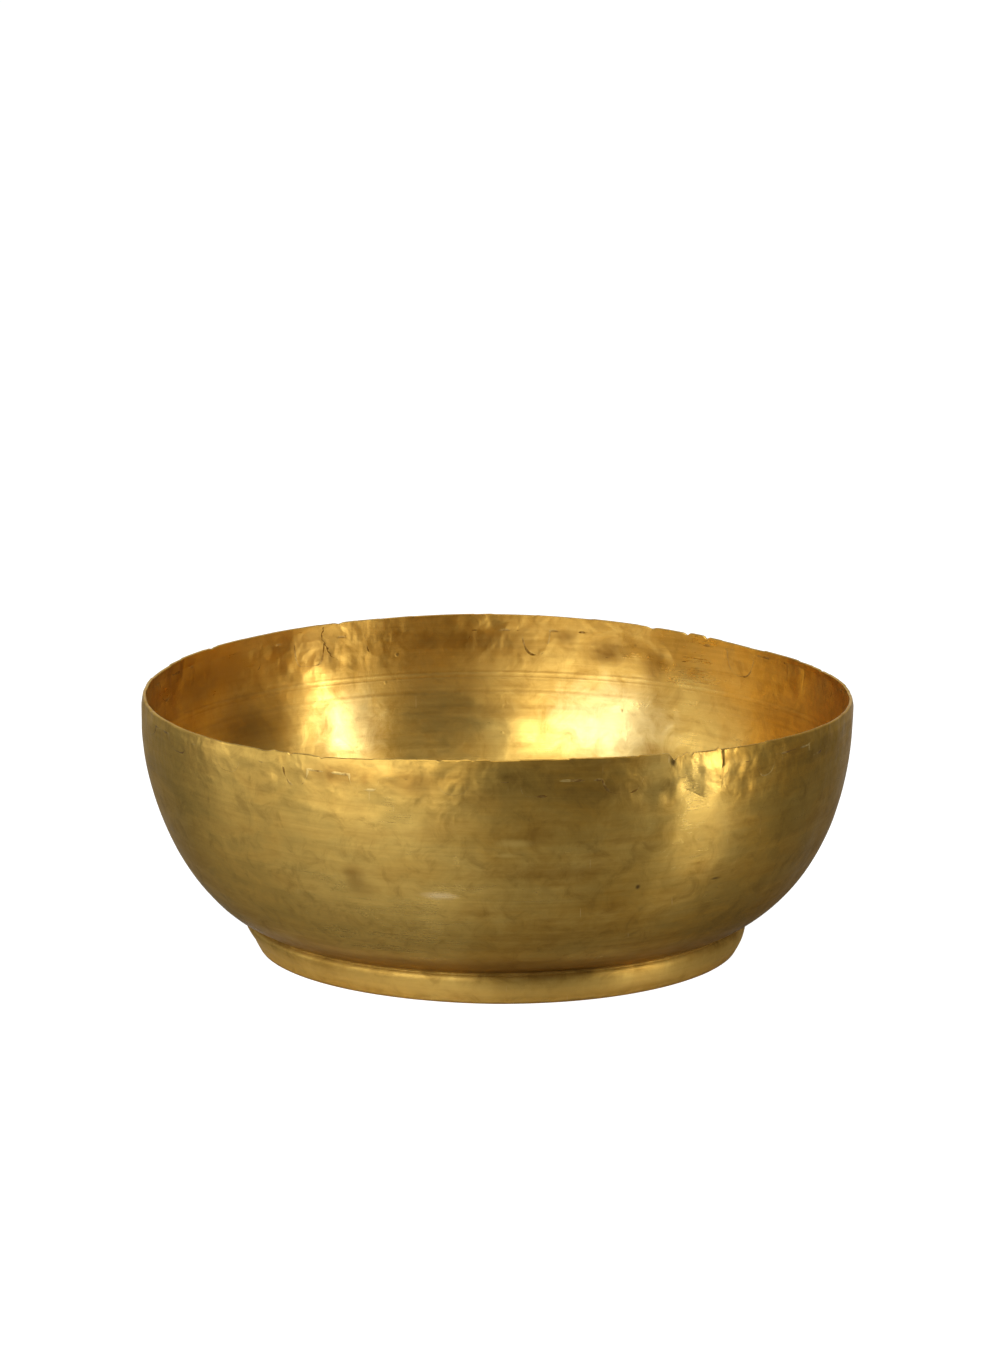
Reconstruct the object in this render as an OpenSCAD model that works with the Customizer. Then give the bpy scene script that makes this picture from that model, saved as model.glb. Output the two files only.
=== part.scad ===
// Shallow sheet brass bowl on a low foot band. A beaten shell carries a narrow rim band, which
// is what is left of the vessel's upper half: its lower edge is cut into tongues that clasp the
// shell's edge inside and outside by turns, and the joint is brazed. The rim's top edge is raw
// and wavy. A separate foot band is brazed under the shell.
// The origin is on the ground at the bowl's centre, and +Z is up.

/* [Shell] */
// Largest outside radius of the shell, at its top edge
belly_r = 163.6; // [150:0.2:180]
// Height of the shell's top edge above the ground
shell_top_z = 113.7; // [105:0.1:116]
// Height from the flat floor's underside to the shell's top edge
shell_rise = 103.2; // [96:0.1:105]
// Radius of the flat floor
floor_r = 92.5; // [85:0.5:98]
// How square the side's curve is, where 2 is a plain ellipse
fullness = 2.1; // [1.9:0.05:2.3]
// Sheet thickness of the shell and the rim band
sheet_t = 1.3; // [0.9:0.1:2]

/* [Rim band] */
// Mean height of the raw top edge above the ground
rim_mean_z = 119.3; // [118.5:0.1:126]
// Height of the twofold wave, whose crests are near the front and the back
rim_wave = 2.4; // [0:0.1:2.6]
// Height of the slow rise across the whole rim
rim_tilt = 0.6; // [0:0.1:0.8]
// Height of the fourfold ripple left by the hammer and the shears
rim_ripple = 0.55; // [0:0.05:0.6]
// How far the band leans in between the joint and its top
rim_lean = 0.6; // [0:0.1:2]

/* [Toothed joint] */
// Number of outside tongues, and of inside tongues
tongue_pairs = 27; // [24:1:36]
// Thickness of each hammered tongue
tongue_t = 0.6; // [0.4:0.1:1]
// Reach of the outside tongues below the shell's edge
outer_reach = 6.5; // [4:0.5:9]
// Reach of the inside tongues below the shell's edge
inner_reach = 11.5; // [8:0.5:12]
// Angle at which the first outside tongue starts
tongue_phase = 7; // [0:0.5:13]
// Which outside tongue is the long lapped end of the band
lap_tongue = 22; // [0:1:23]
// Thickness of the braze film between the two edges
braze_film = 0.3; // [0.2:0.1:0.6]
// Leg of the braze bead between the tongues
bead = 0.8; // [0.5:0.1:1.5]

/* [Foot] */
// Outside radius of the foot at the ground
foot_base_r = 111.8; // [108:0.2:113]
// How far the foot widens towards its shoulder
foot_flare = 4.1; // [1:0.1:4.5]
// Outside radius of the bend that turns the band in under the shell
foot_shoulder = 3; // [2.4:0.1:4]
// Width of the turned in lip that seats against the shell
foot_lip = 2.5; // [1.5:0.1:3]
// Thickness of the foot band
foot_wall = 1.6; // [1.2:0.1:2]
// Reach of the braze fillet along the shell's underside
fillet_reach = 3; // [2:0.1:3.5]

/* [Hidden] */
$fn = 180;

// Colours of the worn brass and of the paler braze
brass = [0.62, 0.49, 0.24];
brass_dark = [0.52, 0.40, 0.19];
braze_tone = [0.72, 0.63, 0.40];

// The straight collar that the tongues lie on ends this far below the shell's edge
collar_drop = 12.5;
// The foot and its braze meet the shell on a straight conical seat between these radii
seat_outer_r = 116.5;
seat_inner_r = 104;
side_steps = 16;
floor_steps = 3;
foot_steps = 6;
shoulder_steps = 6;
rim_steps = 144;

// The band starts on top of the braze film
band_z = shell_top_z + braze_film;
pitch = 360 / tongue_pairs;
// Blank the band is cut from, taller than the wave
band_blank_z = rim_mean_z + 5;
// The fillet laps the underside of the foot's lip by this much
braze_overlap = 1;
// The tongues run up into the band by this much, and are half a sheet deep there
tongue_root = 2;

// Height of the raw edge round the bowl
function rim_z(a) = rim_mean_z + rim_wave * cos(2 * (a - 105)) + rim_tilt * cos(a - 200)
    + rim_ripple * cos(4 * (a - 4));

// Side of the shell as a squarish quarter ellipse, from t = 0 at its edge to t = 90 at the floor
function side(t, inset) = [
    floor_r + (belly_r - floor_r - inset) * pow(cos(t), 2 / fullness),
    shell_top_z - (shell_rise - inset) * pow(sin(t), 2 / fullness)
];
function t_at_r(r) = acos(pow((r - floor_r) / (belly_r - floor_r), fullness / 2));
function t_at_drop(drop) = asin(pow(drop / shell_rise, fullness / 2));

t_collar = t_at_drop(collar_drop);
t_seat_out = t_at_r(seat_outer_r);
t_seat_in = t_at_r(seat_inner_r);

// One face of the shell, from its edge to the middle of the floor
function shell_face(inset) = concat(
    [side(0, inset)],
    [for (i = [0:side_steps]) side(t_collar + (t_seat_out - t_collar) * i / side_steps, inset)],
    [for (i = [0:floor_steps]) side(t_seat_in + (90 - t_seat_in) * i / floor_steps, inset)],
    [[0, shell_top_z - shell_rise + inset]]
);

// Radius on a straight line between two outline points at a given height
function line_r(p, q, z) = p[0] + (q[0] - p[0]) * (z - p[1]) / (q[1] - p[1]);
function collar_r(z, inset) = line_r(side(t_collar, inset), side(0, inset), z);
function band_r(z, inset) = belly_r - inset - rim_lean * (z - band_z) / (band_blank_z - band_z);

// Height of the conical seat at a given radius
function seat_z(r) = let (p = side(t_seat_out, 0), q = side(t_seat_in, 0))
    q[1] + (p[1] - q[1]) * (r - q[0]) / (p[0] - q[0]);

// Reverses an outline, so that two faces close into one loop
function backwards(points) = [for (i = [len(points) - 1:-1:0]) points[i]];

// The foot's bend starts at this radius and height, and its lip ends at lip_r
foot_top_r = foot_base_r + foot_flare;
shoulder_r = foot_top_r - foot_shoulder;
shoulder_z = seat_z(shoulder_r) - foot_shoulder;
lip_r = shoulder_r - foot_lip;

// One face of the foot band: the bulging side, then the bend, moved in by the band's thickness
// for its inside
function foot_face(inset) = concat(
    [for (i = [0:foot_steps])
        [foot_base_r - inset + foot_flare * sin(90 * i / foot_steps), shoulder_z * i / foot_steps]],
    [for (i = [1:shoulder_steps]) let (a = 90 * i / shoulder_steps)
        [shoulder_r + (foot_shoulder - inset) * cos(a), shoulder_z + (foot_shoulder - inset) * sin(a)]],
    [[lip_r, seat_z(lip_r) - inset]]
);

// A strip of the outline swept over one tongue or one gap
module arc_piece(start, outline) {
    rotate_extrude(angle = pitch / 2, start = start)
        polygon(outline);
}

// Tongue on the outside of the shell, rooted in the band
module outer_tongue(k, reach, root_top) {
    tip_z = shell_top_z - reach;
    mid_r = belly_r - sheet_t / 2;
    arc_piece(tongue_phase + k * pitch, [
        [collar_r(tip_z, 0), tip_z],
        [collar_r(tip_z, 0) + tongue_t, tip_z],
        [belly_r + tongue_t, shell_top_z],
        [belly_r + tongue_t, band_z],
        [band_r(root_top, 0) + tongue_t, root_top],
        [mid_r, root_top],
        [mid_r, band_z],
        [belly_r, band_z],
        [belly_r, shell_top_z]
    ]);
}

// Tongue on the inside of the shell, in the gap between two outside ones
module inner_tongue(k) {
    tip_z = shell_top_z - inner_reach;
    root_top = band_z + tongue_root;
    inner_r = belly_r - sheet_t;
    mid_r = belly_r - sheet_t / 2;
    arc_piece(tongue_phase + (k + 0.5) * pitch, [
        [collar_r(tip_z, sheet_t), tip_z],
        [inner_r, shell_top_z],
        [inner_r, band_z],
        [mid_r, band_z],
        [mid_r, root_top],
        [band_r(root_top, sheet_t) - tongue_t, root_top],
        [inner_r - tongue_t, band_z],
        [inner_r - tongue_t, shell_top_z],
        [collar_r(tip_z, sheet_t) - tongue_t, tip_z]
    ]);
}

// Everything above the raw edge, as a ring with a wavy underside
module above_rim() {
    inside = belly_r - 15;
    outside = belly_r + 15;
    points = [for (i = [0:rim_steps - 1]) let (a = 360 * i / rim_steps)
        each [
            [inside * cos(a), inside * sin(a), rim_z(a)],
            [outside * cos(a), outside * sin(a), rim_z(a)],
            [outside * cos(a), outside * sin(a), band_blank_z + 1],
            [inside * cos(a), inside * sin(a), band_blank_z + 1]
        ]
    ];
    faces = [for (i = [0:rim_steps - 1]) let (p = 4 * i, q = 4 * ((i + 1) % rim_steps))
        for (s = [0:3]) let (u = (s + 1) % 4)
            each [[p + s, q + u, q + s], [p + s, p + u, q + u]]
    ];
    polyhedron(points = points, faces = faces);
}

// Beaten shell: one sheet from the edge down to the flat floor
module bowl_shell() {
    color(brass)
        rotate_extrude()
            polygon(concat(shell_face(0), backwards(shell_face(sheet_t))));
}

// Rim band: a strip with a raw wavy top, lapped ends and tongues along its lower edge
module rim_band() {
    color(brass)
        difference() {
            union() {
                rotate_extrude()
                    polygon([
                        [belly_r, band_z],
                        [band_r(band_blank_z, 0), band_blank_z],
                        [band_r(band_blank_z, sheet_t), band_blank_z],
                        [belly_r - sheet_t, band_z]
                    ]);
                outer_tongue(lap_tongue, collar_drop, band_blank_z);
                for (k = [0:tongue_pairs - 1])
                    if (k != lap_tongue)
                        outer_tongue(k, outer_reach, band_z + tongue_root);
                for (k = [0:tongue_pairs - 1])
                    inner_tongue(k);
            }
            above_rim();
        }
}

// Braze in the toothed joint: a film between the two edges and a bead in each gap
module rim_braze() {
    inner_r = belly_r - sheet_t;
    mid_r = belly_r - sheet_t / 2;
    bead_low = shell_top_z - bead;
    bead_high = band_z + bead;
    color(braze_tone) {
        rotate_extrude()
            polygon([
                [inner_r, shell_top_z],
                [belly_r, shell_top_z],
                [belly_r, band_z],
                [inner_r, band_z]
            ]);
        for (k = [0:tongue_pairs - 1]) {
            arc_piece(tongue_phase + (k + 0.5) * pitch, [
                [mid_r, shell_top_z],
                [belly_r, shell_top_z],
                [collar_r(bead_low, 0), bead_low],
                [belly_r + bead / 2, shell_top_z],
                [belly_r + bead / 2, band_z],
                [band_r(bead_high, 0), bead_high],
                [belly_r, band_z],
                [mid_r, band_z]
            ]);
            arc_piece(tongue_phase + k * pitch, [
                [mid_r, shell_top_z],
                [mid_r, band_z],
                [inner_r, band_z],
                [band_r(bead_high, sheet_t), bead_high],
                [inner_r - bead / 2, band_z],
                [inner_r - bead / 2, shell_top_z],
                [collar_r(bead_low, sheet_t), bead_low],
                [inner_r, shell_top_z]
            ]);
        }
    }
}

// Foot band: bulging side, a bend under the shell, a lip against it and a flat lower edge
module foot_ring() {
    color(brass_dark)
        rotate_extrude()
            polygon(concat(foot_face(0), backwards(foot_face(foot_wall))));
}

// Braze fillet inside the foot, from the lip's underside to the shell
module foot_braze() {
    start_r = lip_r + braze_overlap;
    reach_r = lip_r - fillet_reach;
    belly_z = seat_z(lip_r) - foot_wall - braze_overlap / 2;
    color(braze_tone)
        rotate_extrude()
            polygon([
                [start_r, seat_z(start_r) - foot_wall],
                [lip_r, seat_z(lip_r) - foot_wall],
                [lip_r, seat_z(lip_r)],
                [reach_r, seat_z(reach_r)],
                [lip_r, belly_z]
            ]);
}

bowl_shell();
rim_band();
rim_braze();
foot_ring();
foot_braze();
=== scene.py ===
import random
from functools import partialmethod
from math import cos, pi, radians, sin, sqrt, tau

import bpy
import numpy as np
from bpy.props import FloatProperty, FloatVectorProperty, IntProperty, PointerProperty
from mathutils import Matrix, Vector


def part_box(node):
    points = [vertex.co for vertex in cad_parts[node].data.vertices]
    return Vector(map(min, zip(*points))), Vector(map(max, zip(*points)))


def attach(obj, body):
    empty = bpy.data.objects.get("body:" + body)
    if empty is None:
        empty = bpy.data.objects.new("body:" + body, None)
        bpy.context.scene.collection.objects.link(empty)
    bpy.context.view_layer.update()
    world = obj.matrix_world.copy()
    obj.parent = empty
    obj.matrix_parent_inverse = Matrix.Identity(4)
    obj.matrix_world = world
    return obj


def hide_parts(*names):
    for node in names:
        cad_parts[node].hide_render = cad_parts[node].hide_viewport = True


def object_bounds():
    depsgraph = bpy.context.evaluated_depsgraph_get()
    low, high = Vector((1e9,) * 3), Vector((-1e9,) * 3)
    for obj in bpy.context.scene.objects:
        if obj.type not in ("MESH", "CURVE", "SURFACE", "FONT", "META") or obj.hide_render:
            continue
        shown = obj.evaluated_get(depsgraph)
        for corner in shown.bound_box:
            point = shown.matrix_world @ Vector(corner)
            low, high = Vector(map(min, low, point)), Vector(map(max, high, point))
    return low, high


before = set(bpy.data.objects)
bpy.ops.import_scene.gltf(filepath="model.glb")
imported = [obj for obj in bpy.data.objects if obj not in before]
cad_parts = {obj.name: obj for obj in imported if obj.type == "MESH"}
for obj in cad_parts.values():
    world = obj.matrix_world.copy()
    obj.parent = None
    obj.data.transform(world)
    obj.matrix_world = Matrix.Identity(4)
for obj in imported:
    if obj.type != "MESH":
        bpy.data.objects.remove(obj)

bl_info = {
    "name": "Brazed Brass Bowl",
    "version": (1, 0, 0),
    "blender": (4, 5, 0),
    "location": "View3D > Sidebar > Brass Bowl",
    "description": "Builds a beaten brass bowl with a toothed brazed rim band and a brazed foot",
    "category": "Object",
}

MM = 0.001
CAD_LOW, CAD_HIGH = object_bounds()
SHELL_LOW, SHELL_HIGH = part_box("bowl_shell")
FOOT_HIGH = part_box("foot_ring")[1]

# Radii on the shell's underside: where the foot bears on it, where the foot's outside meets it,
# and where the hammer marks of the side end
BEARING_RADIUS = 113 * MM
FOOT_EDGE_RADIUS = 118 * MM
LAST_MARK_RADIUS = 122 * MM
# How far the foot's lip runs in from its bend
FOOT_LIP = 2.5 * MM
# How far the rim band leans in as it rises; below zero it leans out
RIM_LEAN = -0.02
# The lapped end is squarer than any other tongue
LAP_SQUARE = 9
# Low ridges spun into the inside, as heights
SPUN_RIDGES = (92.3 * MM, 90.6 * MM, 83 * MM)

# Tones that stay as they are: dirt in pits, soot, painted shade in the folded nicks, bare metal,
# scraped places, and a cream tone for painted highlights
DIRT = (0.07, 0.04, 0.015, 1.0)
SOOT_AND_NICK_SHADE = (0.06, 0.035, 0.012, 1.0)
BARE = (0.80, 0.60, 0.28, 1.0)
SCRAPED = (0.76, 0.56, 0.26, 1.0)
PAINTED_HIGHLIGHT_CREAM = (0.74, 0.61, 0.29, 1.0)
WHITE = (1, 1, 1, 1)


# ---- Sizes and colours a user would change ----

class BowlSizes(bpy.types.PropertyGroup):
    """Sizes of the bowl's sheet, rim, joint and foot"""
    belly_radius: FloatProperty(
        name="Belly radius", description="Outside radius of the shell at its joint",
        default=SHELL_HIGH.x, unit="LENGTH")
    joint_height: FloatProperty(
        name="Joint height", description="Height of the shell's top edge",
        default=SHELL_HIGH.z, unit="LENGTH")
    floor_height: FloatProperty(
        name="Floor height", description="Height of the floor's underside above the ground",
        default=SHELL_LOW.z, unit="LENGTH")
    floor_radius: FloatProperty(
        name="Floor radius", description="Radius of the flat floor",
        default=92.5 * MM, unit="LENGTH")
    fullness: FloatProperty(
        name="Fullness", description="Squareness of the side's curve, 2 being an ellipse",
        default=2.1, min=1.9, max=2.3)
    sheet: FloatProperty(
        name="Sheet", description="Thickness of the brass sheet",
        default=1.3 * MM, unit="LENGTH")
    film: FloatProperty(
        name="Braze film", description="Thickness of the braze between shell and band",
        default=0.3 * MM, unit="LENGTH")
    rim_mean: FloatProperty(
        name="Rim height", description="Mean height of the raw edge",
        default=119.3 * MM, unit="LENGTH")
    rim_wave: FloatProperty(
        name="Rim wave", description="Height of the rim's twofold wave",
        default=2.4 * MM, unit="LENGTH")
    tongue_pairs: IntProperty(
        name="Tongue pairs", description="Number of outside and of inside tongues",
        default=27, min=18, max=36)
    tongue_phase: FloatProperty(
        name="First tongue", description="Angle at which the first outside tongue starts",
        default=radians(7), subtype="ANGLE")
    lap_tongue: IntProperty(
        name="Lapped tongue", description="Outside tongue that is the band's long lapped end",
        default=22, min=0, max=26)
    foot_radius: FloatProperty(
        name="Foot radius", description="Outside radius of the foot at the ground",
        default=111.8 * MM, unit="LENGTH")
    foot_bend: FloatProperty(
        name="Foot bend", description="Outside radius of the bend under the shell",
        default=3.0 * MM, unit="LENGTH")
    foot_wall: FloatProperty(
        name="Foot wall", description="Thickness of the foot band",
        default=1.6 * MM, unit="LENGTH")


class BowlFinish(bpy.types.PropertyGroup):
    """Colours and polish of the worn brass"""
    # The clean tone also paints the lit left side and the highlight band on the foot as painted light
    clean: FloatVectorProperty(
        name="Clean brass", description="Brass where hands and cloth have kept it clean",
        subtype="COLOR", size=3, default=(0.62, 0.412, 0.105), min=0, max=1)
    worn: FloatVectorProperty(
        name="Worn brass", description="Brass with its usual thin tarnish",
        subtype="COLOR", size=3, default=(0.41, 0.222, 0.033), min=0, max=1)
    # The patina tone also paints the shade bands under the rim, on the lower body and in the foot's
    # crease, and shade patches inside
    patina: FloatVectorProperty(
        name="Patina", description="Brown tarnish in patches and creases",
        subtype="COLOR", size=3, default=(0.19, 0.096, 0.018), min=0, max=1)
    green: FloatVectorProperty(
        name="Green tarnish", description="Dull greenish tarnish that dims the metal in blotches",
        subtype="COLOR", size=3, default=(0.33, 0.235, 0.062), min=0, max=1)
    braze: FloatVectorProperty(
        name="Braze", description="Braze in the joints",
        subtype="COLOR", size=3, default=(0.53, 0.37, 0.12), min=0, max=1)
    roughness: FloatProperty(
        name="Roughness", description="Mean roughness of the satin brass",
        default=0.33, min=0.05, max=0.9, subtype="FACTOR")
    brushing: FloatProperty(
        name="Brushing", description="How strongly the turning lines stretch the highlights",
        default=0.62, min=0, max=1, subtype="FACTOR")


def sizes():
    return bpy.context.scene.bowl_sizes


def finish():
    return bpy.context.scene.bowl_finish


# ---- The sheet: its outline, and the dents that shell, band and braze all share ----

def smooth(low, high, x):
    """Goes from 0 at low to 1 at high with level ends"""
    t = np.clip((x - low) / (high - low), 0, 1)
    return t * t * (3 - 2 * t)


def bump(x, centre, width):
    """A rounded hump of height 1"""
    return np.exp(-((x - centre) / width) ** 2)


def turn(a, b):
    """Signed angle from b to a, the short way round"""
    return (a - b + pi) % tau - pi


class Sheet:
    """Outside face of the brass, measured as a run: 0 at the joint, down to the floor's middle,
    and negative up the rim band"""
    SIDE_POINTS = 1200
    STEEP_POINTS = 900
    FLOOR_POINTS = 200

    def __init__(self):
        size = sizes()
        t = np.linspace(0, pi / 2, self.SIDE_POINTS)
        power = 2 / size.fullness
        rise = size.joint_height - size.floor_height
        r = size.floor_radius + (size.belly_radius - size.floor_radius) * np.cos(t) ** power
        z = size.joint_height - rise * np.sin(t) ** power
        r[-1], z[-1] = size.floor_radius, size.floor_height
        middle = np.linspace(size.floor_radius, 0, self.FLOOR_POINTS)[1:]
        # The floor is a little hollow underneath, so it doesn't ring flat
        dish = 0.6 * MM * (1 - (middle / size.floor_radius) ** 2)
        r = np.concatenate([r, middle])
        z = np.concatenate([z, size.floor_height + dish])
        run = np.concatenate([[0], np.cumsum(np.hypot(np.diff(r), np.diff(z)))])
        self.run, self.r, self.z = run, r, z
        self.length = float(run[-1])
        self.dents = self.hammer_marks()

    def run_at_radius(self, radius):
        return float(np.interp(-radius, -self.r, self.run))

    def run_at_height(self, z):
        """Run at a height on the steep upper wall and the band"""
        steep = slice(self.STEEP_POINTS)
        below = np.interp(-z, -self.z[steep], self.run[steep])
        return np.where(z > self.z[0], self.z[0] - z, below)

    def hammer_marks(self):
        """Dents as (angle, run, spread, depth)"""
        dice = random.Random(41)
        end = self.run_at_radius(LAST_MARK_RADIUS)
        marks = []
        # Broad hollows left by raising, then planishing marks
        for count, least, most, deep, top in ((120, 11, 22, 0.28, 0), (420, 4, 8, 0.075, -5)):
            for _ in range(count):
                spread = dice.uniform(least, most) * MM
                depth = dice.gauss(0, deep) * MM
                angle = dice.uniform(0, tau)
                marks.append((angle, dice.uniform(top * MM, end), spread, depth))
        # Small marks near the rim
        for _ in range(360):
            spread = dice.uniform(2.8, 5) * MM
            depth = dice.gauss(0, 0.12) * MM
            run = dice.triangular(-9, 24, 3) * MM
            marks.append((dice.uniform(0, tau), run, spread, depth))
        # The floor is flattened all over
        for _ in range(150):
            spread = dice.uniform(6, 11) * MM
            depth = dice.uniform(0.05, 0.2) * MM
            run = self.length - 100 * MM * sqrt(dice.random())
            marks.append((dice.uniform(0, tau), run, spread, depth))
        return marks

    def beaten(self, angle, run):
        """How far the sheet lies from its true shape, for one angle a column"""
        a = angle[:, None]
        off_bearing = np.abs(run - self.run_at_radius(BEARING_RADIUS))
        upper = 1 - smooth(60 * MM, 120 * MM, run)
        out_of_round = 0.8 * np.cos(a) - 0.6 * np.cos(2 * a) + 0.2 * np.cos(3 * a + 1.6)
        away = upper * out_of_round * MM
        # The band leans in at both ends of the bowl's X width
        away = away - 0.17 * np.clip(-run, 0, None) * np.cos(a) ** 2
        for mark_angle, mark_run, spread, depth in self.dents:
            radius = max(float(np.interp(mark_run, self.run, self.r)), 12 * MM)
            reach = 3 * spread / radius
            near = np.nonzero(np.abs(turn(angle, mark_angle)) < reach)[0]
            if len(near) == 0:
                continue
            across = turn(angle[near], mark_angle)[:, None] * radius
            along = run[near] - mark_run
            away[near] -= depth * np.exp(-(across ** 2 + along ** 2) / spread ** 2)
        return away * smooth(4 * MM, 22 * MM, off_bearing)

    def point(self, angle, run, lift):
        """Radius and height at a lift above the outside face, for one angle a column"""
        step = 0.4 * MM
        r, z = self.outline(run)
        r_up, z_up = self.outline(run - step)
        r_down, z_down = self.outline(run + step)
        along_r, along_z = r_down - r_up, z_down - z_up
        length = np.hypot(along_r, along_z) + 1e-12
        out_r, out_z = -along_z / length, along_r / length
        lift = lift + self.beaten(angle, run)
        return r + out_r * lift, z + out_z * lift

    def outline(self, run):
        """Radius and height of the true shape, before any dents"""
        below = np.clip(run, 0, self.length)
        r = np.interp(below, self.run, self.r)
        z = np.interp(below, self.run, self.z)
        above = np.clip(-run, 0, None)
        return r - RIM_LEAN * above, z + above


# Slow waves of the raw edge: how many go round, height in millimetres, angle of a crest
RIM_WAVES = ((1, 0.6, 200), (4, 0.55, 4))

# Long dips in the raw edge, then nicks and burrs: angle and half width in degrees, depth in
# millimetres, below zero where the edge stands up
RIM_DIPS = ((272, 24, -0.7), (112, 28, 1.3), (41, 12, 0.8))
NICKS = (
    (298.2, 0.6, 3.2), (299.4, 0.5, 1.6), (301.2, 0.3, 1.8), (306.2, 0.25, -0.9),
    (231.5, 1.1, 0.5), (233.5, 0.5, -0.5), (236.8, 0.35, 1.0), (242.5, 0.5, 0.7),
    (261.4, 0.3, 0.7), (266.6, 0.3, 0.6), (62.5, 0.7, 0.8), (55.5, 0.5, 0.9),
    (51.5, 0.4, 0.8), (118, 0.6, 0.6), (147, 0.5, 0.5), (20, 0.5, 0.6), (196, 0.4, 0.5),
)


def dipped(z, angle, dips):
    for degrees, wide, deep in dips:
        z = z - deep * MM * bump(turn(angle, radians(degrees)), 0, radians(wide))
    return z


def rim_height(angle):
    """Height of the raw edge: slow waves, long dips, short sheared steps, nicks and burrs"""
    size = sizes()
    z = size.rim_mean + size.rim_wave * np.cos(2 * (angle - radians(105)))
    for count, high, crest in RIM_WAVES:
        z = z + high * MM * np.cos(count * (angle - radians(crest)))
    z = dipped(z, angle, RIM_DIPS)
    dice = random.Random(12)
    start = 0.0
    while start < tau:
        length = radians(dice.uniform(3, 11))
        rise = dice.gauss(0, 0.17) * MM
        tilt = dice.gauss(0, 0.12) * MM
        past = turn(angle, start)
        inside = smooth(0, 0.006, past) * smooth(0, 0.006, turn(start + length, angle))
        z = z + inside * (rise + tilt * (past / length - 0.5))
        start += length
    return dipped(z, angle, NICKS)


class Tongues:
    """Outlines of the rim band's tongues, alike but no two equal"""

    def __init__(self, outside):
        size = sizes()
        dice = random.Random(5 if outside else 6)
        pitch = tau / size.tongue_pairs
        self.items = []
        for k in range(size.tongue_pairs):
            centre = size.tongue_phase + (k + (0.25 if outside else 0.75)) * pitch
            lapped = outside and k == size.lap_tongue
            centre += 0 if lapped else dice.gauss(0, 0.05) * pitch
            half = pitch * (0.25 if lapped else dice.uniform(0.17, 0.25))
            reach = (dice.uniform(5.5, 8.5) if outside else dice.uniform(9.5, 13)) * MM
            square = dice.choice((2.4, 3, 6))
            proud = 0.10 * dice.random() ** 3 * MM
            if lapped:
                reach, square, proud = 13 * MM, LAP_SQUARE, 0.3 * MM
            self.items.append((centre, half, reach, square, proud))

    def reach(self, angle):
        """How far below the joint the tongue at each angle reaches, and how proud it stands"""
        reach = np.full(angle.shape, 0.25 * MM)
        proud = np.full(angle.shape, 0.02 * MM)
        for centre, half, length, square, lift in self.items:
            off = np.abs(turn(angle, centre)) / half
            shape = np.clip(1 - off ** square, 0, 1) ** 0.6
            if square == LAP_SQUARE:
                # Only one side of the lapped end shows, and the other fades out
                past = turn(angle, centre)
                ramp = np.clip(1 + past / radians(9), 0, 1)
                shape = np.where(past < 0, ramp, shape)
                lift = lift * ramp ** 4
            reach = np.maximum(reach, length * shape)
            proud = np.maximum(proud, lift * smooth(0, 0.6, shape))
        return reach, proud


# ---- Mesh makers ----

def make_piece(name, points, faces, materials, nodes):
    """Adds a smooth shaded piece that rides on the bowl and stands in for CAD nodes"""
    mesh = bpy.data.meshes.new(name)
    mesh.from_pydata(points.tolist(), [], faces)
    mesh.update()
    piece = bpy.data.objects.new(name, mesh)
    bpy.context.scene.collection.objects.link(piece)
    for material in materials:
        mesh.materials.append(material)
    mesh.polygons.foreach_set("use_smooth", [True] * len(mesh.polygons))
    mesh.set_sharp_from_angle(angle=radians(40))
    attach(piece, "root")
    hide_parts(*nodes)
    return piece


def ring_points(angle, r, z):
    """Points of a ring from the radius and height of each of its sections"""
    a = angle[:, None]
    return np.stack([r * np.cos(a), r * np.sin(a), z], axis=-1).reshape(-1, 3)


def loop_faces(columns, rows):
    """Quads of a ring whose section is a closed loop"""
    i, j = np.meshgrid(np.arange(columns), np.arange(rows), indexing="ij")
    next_i, next_j = (i + 1) % columns, (j + 1) % rows
    quads = [i * rows + j, next_i * rows + j, next_i * rows + next_j, i * rows + next_j]
    return np.stack(quads, axis=-1).reshape(-1, 4).tolist()


def bowl_faces(columns, rows):
    """Quads of an open section, and a fan of triangles at each of its two middles"""
    i, j = np.meshgrid(np.arange(columns), np.arange(rows - 1), indexing="ij")
    next_i = (i + 1) % columns
    quads = [i * rows + j, next_i * rows + j, next_i * rows + j + 1, i * rows + j + 1]
    faces = np.stack(quads, axis=-1).reshape(-1, 4).tolist()
    first, last = columns * rows, columns * rows + 1
    for c in range(columns):
        n = (c + 1) % columns
        faces.append([first, n * rows, c * rows])
        faces.append([last, c * rows + rows - 1, n * rows + rows - 1])
    return faces


def full_turn(columns):
    return np.arange(columns) * tau / columns


def runs_down(*stretches):
    """Rows along the sheet: each stretch is (from, to, rows)"""
    rows = [np.linspace(a, b, n, endpoint=False) for a, b, n in stretches]
    return np.concatenate(rows + [[stretches[-1][1]]])


# ---- Materials ----

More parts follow.
